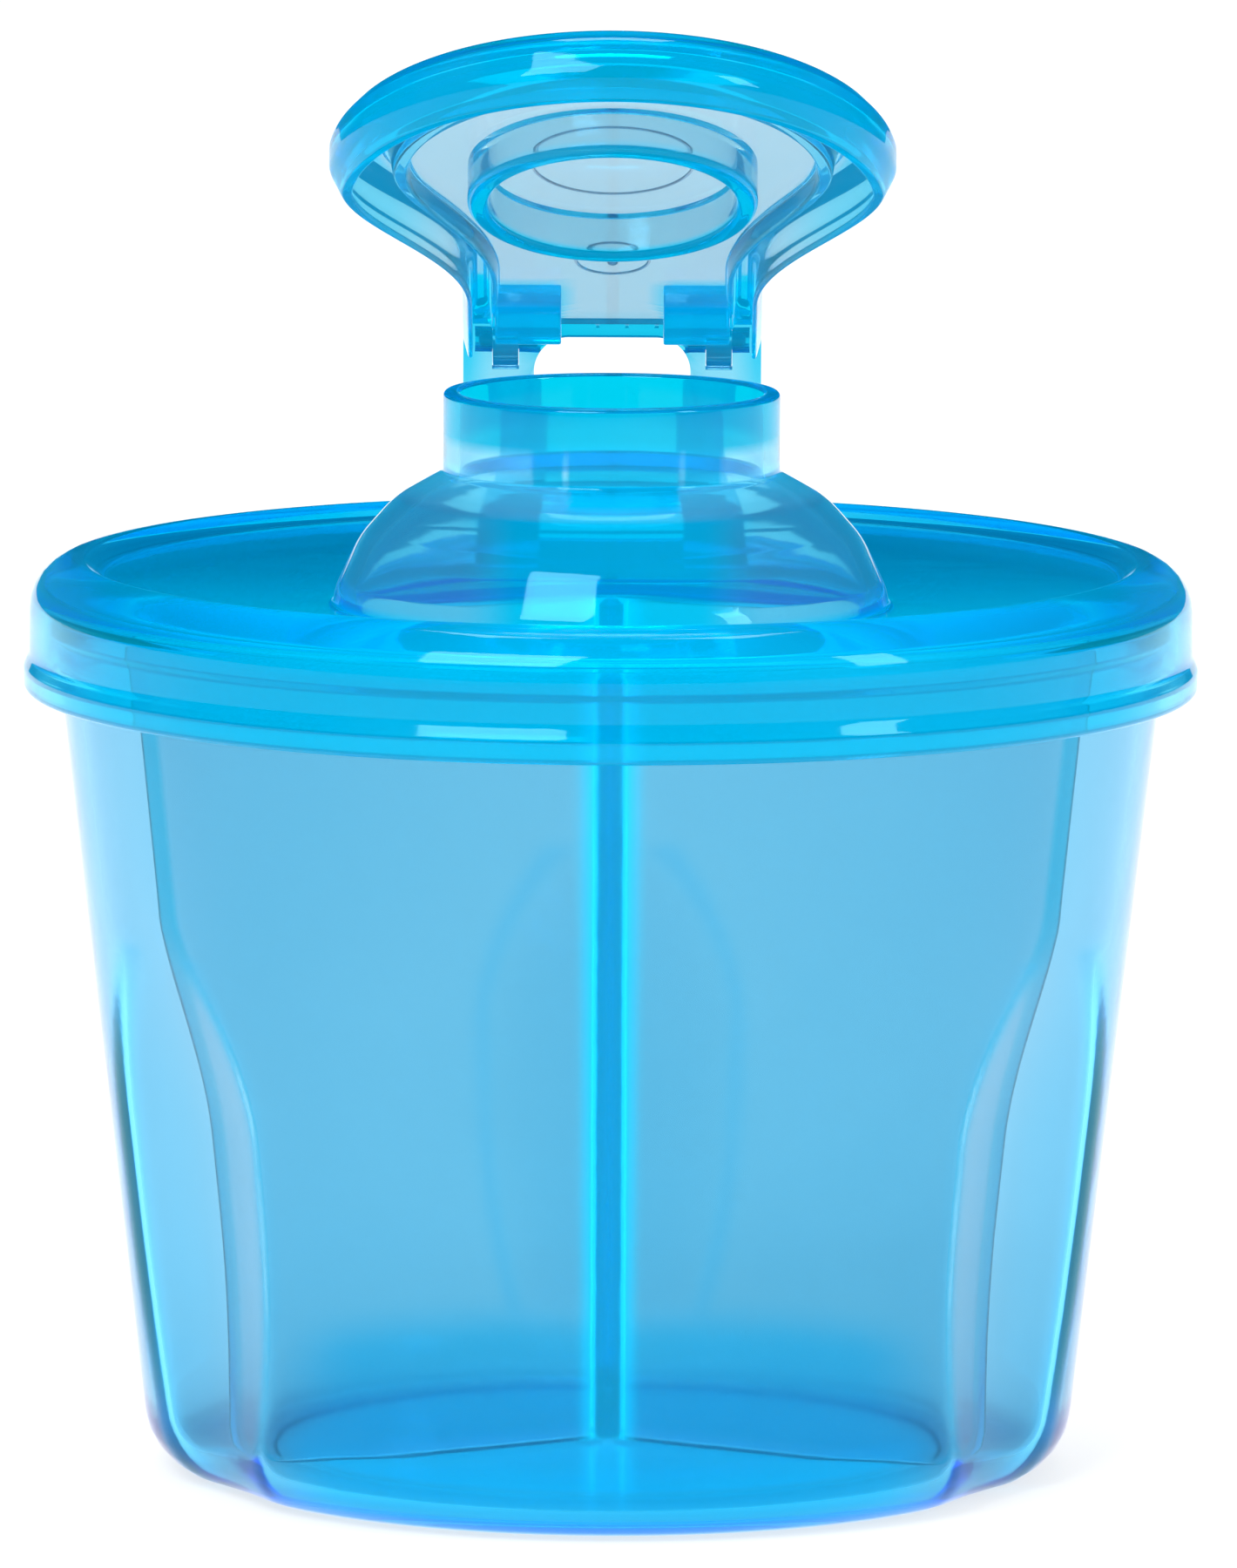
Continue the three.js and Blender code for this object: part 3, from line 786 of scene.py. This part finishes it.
# A rod along X with a rounded outer end and a slightly broken inner edge.
def pinMesh(name, side):
    length = pin["outer"] - pin["inner"]
    profile = withSteps(roundedPath([
        (0, 0, 0),
        (pin["radius"], 0, 0.15),
        (pin["radius"], length, pin["end"]),
        (0, length, 0),
    ]), 0.5)
    grid = turnedGrid(profile, 40)
    placed = np.stack([side * (pin["inner"] + grid[..., 2]), grid[..., 0], grid[..., 1]], axis=-1)
    return meshOf(name, [(placed + hingePlace, False)])


for sideName, side in (("left", -1), ("right", 1)):
    rod = settled(newObject(f"hinge_rod_{sideName}", pinMesh(f"hinge_rod_{sideName}", side)))
    # the pins are evenly deep and give off an even painted glow
    finishPiece(rod, "top", f"hinge_pin_{sideName}", pinPlastic,
                lambda x, y, z: (0 * x + 0.5, 0 * x + 0.6))


cap = {
    "disc": 25.9,
    "stem": 13.9,
    "flankStart": -45,
    "flankEnd": -19,
    "root": -3.3,
    "plateDisc": 18.2,
    "plateStem": 10.4,
    "plateFlankStart": -42,
    "plateFlankEnd": -17,
    "plateRoot": -4.6,
    "underside": 0.2,
    "plateTop": 1.7,
    "crest": 2.8,
    "skirt": -4.2,
    "ridge": -1.6,
    "bossInner": 4.75,
    "bossOuter": 10.9,
    "bossReach": 12.3,
    "bossDepth": -2.0,
    "lugInner": 8.75,
    "lugOuter": 11.15,
    "lugRadius": 2.5,
    "gateRing": 7.4,
    "nubRing": 3.4,
    "nubAlong": -19,
    "counts": (61, 41, 13, 7, 15),  # outline points on the disc, flank, stem, corner and root
}


# Half an outline from the front of the disc to the middle of the stem's root, as (x, y): an
# arc, a cubic curve down the flank, the stem's straight side, a small corner and the root's
# straight edge.
def capOutline(disc, stem, flankStart, flankEnd, root, counts):
    reach = common["stemReach"]
    last = math.asin((reach + flankStart) / disc)
    arc = np.linspace(-np.pi / 2, last, counts[0])
    onArc = np.stack([disc * np.cos(arc), -reach + disc * np.sin(arc)], axis=-1)
    startX = disc * math.cos(last)
    control = np.array([(startX, flankStart), (startX - 0.4, flankStart + 8),
                        (stem + 0.3, flankEnd - 11), (stem, flankEnd)])
    t = np.linspace(0, 1, counts[1])[1:, None]
    flank = ((1 - t) ** 3 * control[0] + 3 * t * (1 - t) ** 2 * control[1]
             + 3 * t * t * (1 - t) * control[2] + t ** 3 * control[3])
    corner = 1.0
    turn = np.linspace(0, np.pi / 2, counts[3])
    onCorner = np.stack([stem - corner + corner * np.cos(turn),
                         root - corner + corner * np.sin(turn)], axis=-1)
    side = np.linspace(flankEnd, root - corner, counts[2])[1:-1]
    onSide = np.stack([np.full(side.shape, float(stem)), side], axis=-1)
    edge = np.linspace(stem - corner, 0, counts[4])[1:]
    onRoot = np.stack([edge, np.full(edge.shape, float(root))], axis=-1)
    return np.concatenate([onArc, flank, onSide, onCorner, onRoot])


# The half outline and its mirror image, joined at the front and at the root.
def wholeLoop(half):
    other = half[-2:0:-1] * np.array([-1, 1])
    return np.concatenate([half, other])


# From the cap's own frame, closed and with the hinge axis as origin, to where it stands open.
def capToRow(points):
    tilt = math.radians(common["capTilt"])
    x, y, z = points[..., 0], points[..., 1], points[..., 2]
    turned = np.stack([x, y * math.cos(tilt) + z * math.sin(tilt),
                       -y * math.sin(tilt) + z * math.cos(tilt)], axis=-1)
    return turned + hingePlace


# Loops run from the middle of the plate's underside, out over a low ridge and the hollow of
# the rolled rim, down to its free edge, up the outside, over the crest, and back across the
# top. A loop is a blend of the plate's outline and the outer one, and its height fades to the
# plate's at the root.
def capMesh():
    counts = cap["counts"]
    outer = wholeLoop(capOutline(cap["disc"], cap["stem"], cap["flankStart"], cap["flankEnd"],
                                 cap["root"], counts))
    plate = wholeLoop(capOutline(cap["plateDisc"], cap["plateStem"], cap["plateFlankStart"],
                                 cap["plateFlankEnd"], cap["plateRoot"], counts))
    spine = plate * np.array([0, 1])
    spine[:, 1] = np.clip(spine[:, 1], -common["stemReach"], cap["plateRoot"] - 4)
    atRoot = smoothStep((outer[:, 1] - (cap["root"] - 2.0)) / 1.2)

    under, top = cap["underside"], cap["plateTop"]
    section = roundedPath([
        (0.0, under, 0),
        (0.3, under, 0.3),
        (0.55, cap["ridge"], 0.35),
        (1.75, cap["ridge"], 0.35),
        (2.3, under + 0.9, 0.9),
        (6.2, under + 0.9, 2.0),
        (6.0, cap["skirt"] + 1.4, 1.0),
        (5.3, cap["skirt"], 0.4),
        (6.5, cap["skirt"], 0.55),
        (7.7, cap["skirt"] + 2.2, 2.4),
        (7.7, 1.0, 2.0),
        (6.2, cap["crest"], 1.6),
        (3.2, cap["crest"], 2.4),
        (0.9, top, 1.4),
        (0.0, top, 0),
    ], steps=8)
    section = withSteps(section, 0.7)
    width = cap["disc"] - cap["plateDisc"]
    share = section[:, :1] / width
    step = np.arange(len(section))[:, None]
    widest = int(np.argmax(share))
    rising = np.minimum(step / widest, (len(section) - 1 - step) / (len(section) - 1 - widest))
    rootShare = np.minimum(rising * 1.3, 1)
    flat = under + (top - under) * smoothStep((step - widest) / (0.3 * widest) + 0.5)
    loops = plate + (outer - plate) * (share * (1 - atRoot) + rootShare * atRoot)[..., None]
    height = section[:, 1:] * (1 - atRoot) + flat * atRoot
    rim = np.concatenate([loops, height[..., None]], axis=-1)

    inward = np.array([0.0, 0.3, 0.55, 0.75, 0.9, 0.97])[:, None, None]
    plateLoops = spine + (plate - spine) * inward

    def level(z):
        return np.concatenate([plateLoops, np.full(plateLoops.shape[:2] + (1,), z)], axis=-1)
    grid = np.concatenate([level(under), rim, level(top)[::-1]])
    shells = [(grid, False)] + [(block, False) for block in capBlocks()] + plateMarks()
    return meshOf("cap_moulding", [(capToRow(points), joinRows) for points, joinRows in shells])


# A block along X between x0 and x1, its side outline given by rounded corners (y, z, radius).
def blockGrid(x0, x1, corners, steps=5):
    outline = roundedPath(corners, closed=True, steps=steps)
    middle = outline.mean(axis=0)
    soft = 0.25
    turn = np.linspace(0, np.pi / 2, 4)
    size, inset = 1 - soft / 4 * (1 - np.sin(turn)), soft * (1 - np.cos(turn))
    sizes = np.concatenate([[0], size, size[::-1], [0]])
    places = np.concatenate([[x0], x0 + inset, x1 - inset[::-1], [x1]])
    shrunk = middle + (outline - middle) * sizes[:, None, None]
    x = np.broadcast_to(places[:, None, None], shrunk.shape[:2] + (1,))
    return np.concatenate([x, shrunk], axis=-1)


# The two blocks under the stem's root, and the lugs that reach from them round the hinge
# pins.
def capBlocks():
    blocks = []
    for side in (-1, 1):
        ends = sorted((side * cap["bossInner"], side * cap["bossOuter"]))
        blocks.append(blockGrid(*ends, [
            (-cap["bossReach"], 1.0, 0.3),
            (-cap["bossReach"], cap["bossDepth"], 0.7),
            (cap["root"], cap["bossDepth"], 0.4),
            (cap["root"], 1.0, 0.3),
        ]))
        ends = sorted((side * cap["lugInner"], side * cap["lugOuter"]))
        radius = cap["lugRadius"]
        blocks.append(blockGrid(*ends, [
            (cap["root"] - 1, -1.4, 0.2),
            (-1.6, -radius, 0.6),
            (radius, -radius, radius * 0.98),
            (radius, radius, radius * 0.98),
            (-1.4, radius, 0.6),
            (cap["root"] - 1, 1.5, 0.2),
        ]))
    return blocks


# Two fine rings and a nub on the plate's underside, left by the mould.
def plateMarks():
    marks = []
    face = cap["underside"]
    for radius, along in ((cap["gateRing"], -common["stemReach"]), (cap["nubRing"], cap["nubAlong"])):
        line = roundedPath([
            (radius - 0.16, face + 0.2, 0.02),
            (radius - 0.12, face - 0.08, 0.08),
            (radius + 0.12, face - 0.08, 0.08),
            (radius + 0.16, face + 0.2, 0.02),
        ], closed=True, steps=4)
        marks.append((turnedGrid(line, 120, (0, along)), True))
    nub = roundedPath([
        (0, face + 0.3, 0),
        (0.55, face + 0.3, 0.1),
        (0.5, face - 0.5, 0.3),
        (0, face - 0.5, 0),
    ])
    marks.append((turnedGrid(nub, 24, (0, cap["nubAlong"])), False))
    return marks


capMoulding = settled(newObject("cap_moulding", capMesh()))


# From where the cap stands open back to its own closed frame.
def capFromRow(x, y, z):
    tilt = math.radians(common["capTilt"])
    dy, dz = y - hingePlace[1], z - hingePlace[2]
    return x, dy * math.cos(tilt) - dz * math.sin(tilt), dy * math.sin(tilt) + dz * math.cos(tilt)


# The sunk plate is pale. The rolled rim, the stem's flanks and the blocks are deep, by smooth
# steps of the distance outside the plate's outline.
def capDepth(x, y, z):
    x, along, _ = capFromRow(x, y, z)
    edge = capOutline(cap["plateDisc"], cap["plateStem"], cap["plateFlankStart"], cap["plateFlankEnd"],
                      cap["plateRoot"], cap["counts"])
    flank = edge[cap["counts"][0] - 1:sum(cap["counts"][:3]) - 1]
    beside = np.abs(x) - np.interp(along, flank[:, 1], flank[:, 0])
    before = np.hypot(x, along + common["stemReach"]) - cap["plateDisc"]
    outside = np.where(along < -common["stemReach"], before, beside)
    front = smoothStep((-along - common["stemReach"] + 4) / 18)
    rim = smoothStep((outside - 2.0) / 2.0) * (0.72 + 0.28 * front)
    ridge = smoothStep((outside - 0.1) / 0.3) * smoothStep((2.4 - outside) / 0.4) * 0.5
    blockAlong = smoothStep((along + cap["bossReach"] + 0.2) / 0.4)
    block = blockAlong * smoothStep((np.abs(x) - cap["bossInner"] + 0.2) / 0.4)
    block = block * smoothStep((cap["root"] + 0.8 - along) / 0.6)
    hinge = 0.25 * smoothStep((along + 6) / 2)
    deep = np.max([rim, ridge, block, hinge], axis=0)
    # the deep parts give off painted glow in step with their depth
    return deep, deep * (0.85 + 0.05 * block)


finishPiece(capMoulding, "cap", "flip_cap", capPlastic, capDepth)

seal = {"outer": 13.2, "wall": 1.9, "top": -0.1, "bottom": -4.4}


# A rounded section turned round the middle of the cap's disc.
def sealMesh():
    inner = seal["outer"] - seal["wall"]
    profile = withSteps(roundedPath([
        (inner, seal["top"], 0.1),
        (inner, seal["bottom"], 0.6),
        (seal["outer"], seal["bottom"], 0.8),
        (seal["outer"], seal["top"], 0.1),
    ], closed=True), 0.5, closed=True)
    grid = turnedGrid(profile, 200, (0, -common["stemReach"]))
    return meshOf("seal_ring", [(capToRow(grid), True)])


sealRing = settled(newObject("seal_ring", sealMesh()))


# The mouth's edge is the deepest and gives off painted glow, a smooth step of the height above it.
def sealDepth(x, y, z):
    up = capFromRow(x, y, z)[2]
    mouth = smoothStep((seal["bottom"] + 1.1 - up) / 0.6)
    return mouth, mouth


finishPiece(sealRing, "cap", "cap_seal", sealPlastic, sealDepth)


stage = {"floorHalf": 6.0, "floorGlow": 0.7, "world": 0.8, "worldInGloss": (0.0, 0.22, 0.42)}


def makeStage():
    half = stage["floorHalf"]
    mesh = bpy.data.meshes.new("floor")
    corners = [(-half, -half, 0), (half, -half, 0), (half, half, 0), (-half, half, 0)]
    mesh.from_pydata(corners, [], [(0, 1, 2, 3)])
    floor = newObject("floor", mesh)
    floor.location.z = -0.0002
    paper = bpy.data.materials.new("floorPaper")
    paper.use_nodes = True
    shader = paper.node_tree.nodes["Principled BSDF"]
    shader.inputs["Base Color"].default_value = (0.4, 0.4, 0.4, 1)
    shader.inputs["Roughness"].default_value = 0.9
    shader.inputs["Specular IOR Level"].default_value = 0.1
    shader.inputs["Emission Color"].default_value = (1, 1, 1, 1)
    shader.inputs["Emission Strength"].default_value = stage["floorGlow"]
    mesh.materials.append(paper)

    world = bpy.data.worlds.new("studio")
    bpy.context.scene.world = world
    world.use_nodes = True
    nodes, links = world.node_tree.nodes, world.node_tree.links
    path = nodes.new("ShaderNodeLightPath")
    seen = nodes.new("ShaderNodeMix")  # reflections meet a dim blue room instead of the white one
    seen.data_type = "RGBA"
    seen.inputs["A"].default_value = (stage["world"], stage["world"], stage["world"], 1)
    seen.inputs["B"].default_value = (*stage["worldInGloss"], 1)
    links.new(path.outputs["Is Glossy Ray"], seen.inputs["Factor"])
    links.new(seen.outputs["Result"], nodes["Background"].inputs["Color"])


# A rectangular lamp that faces the object. Azimuth 0 is the front, and it grows to the right.
def softbox(name, azimuth, elevation, distance, width, height, power):
    lamp = bpy.data.lights.new(name, "AREA")
    lamp.shape = "RECTANGLE"
    lamp.size, lamp.size_y = width, height
    lamp.energy = power
    thing = newObject(name, lamp)
    turn, rise = math.radians(azimuth), math.radians(elevation)
    back = np.array([math.sin(turn) * math.cos(rise), -math.cos(turn) * math.cos(rise), math.sin(rise)])
    target = np.array([0, 0, 0.07])
    z = Matrix.Rotation(turn, 4, "Z") @ Matrix.Rotation(math.pi / 2 - rise, 4, "X")
    thing.matrix_world = Matrix.Translation(target + back * distance) @ z


def makeCamera():
    lens = {"distance": 1.4, "height": 0.2566, "right": 0.00076,
            "pitch": 7.85, "roll": 0.25, "focal": 351}
    data = bpy.data.cameras.new("camera")
    data.sensor_width = 36
    data.lens = lens["focal"]
    data.clip_start, data.clip_end = 0.01, 50
    camera = newObject("camera", data)
    aim = Matrix.Rotation(math.radians(90 - lens["pitch"]), 4, "X")
    roll = Matrix.Rotation(math.radians(lens["roll"]), 4, "Z")
    place = Matrix.Translation((lens["right"], -lens["distance"], lens["height"]))
    camera.matrix_world = place @ aim @ roll
    bpy.context.scene.camera = camera


makeStage()
softbox("keyBox", -25, 38, 1.3, 0.6, 0.6, 11)
softbox("fillBox", 55, 25, 1.6, 0.3, 0.6, 5)
softbox("topBox", 180, 70, 1.5, 0.6, 0.5, 5)
makeCamera()
bpy.context.scene.view_settings.view_transform = "Standard"
cycles = bpy.context.scene.cycles
cycles.max_bounces = cycles.transmission_bounces = 20  # light has many walls to get through
cycles.glossy_bounces = 16  # and bounces along inside each wall
print("stage set")
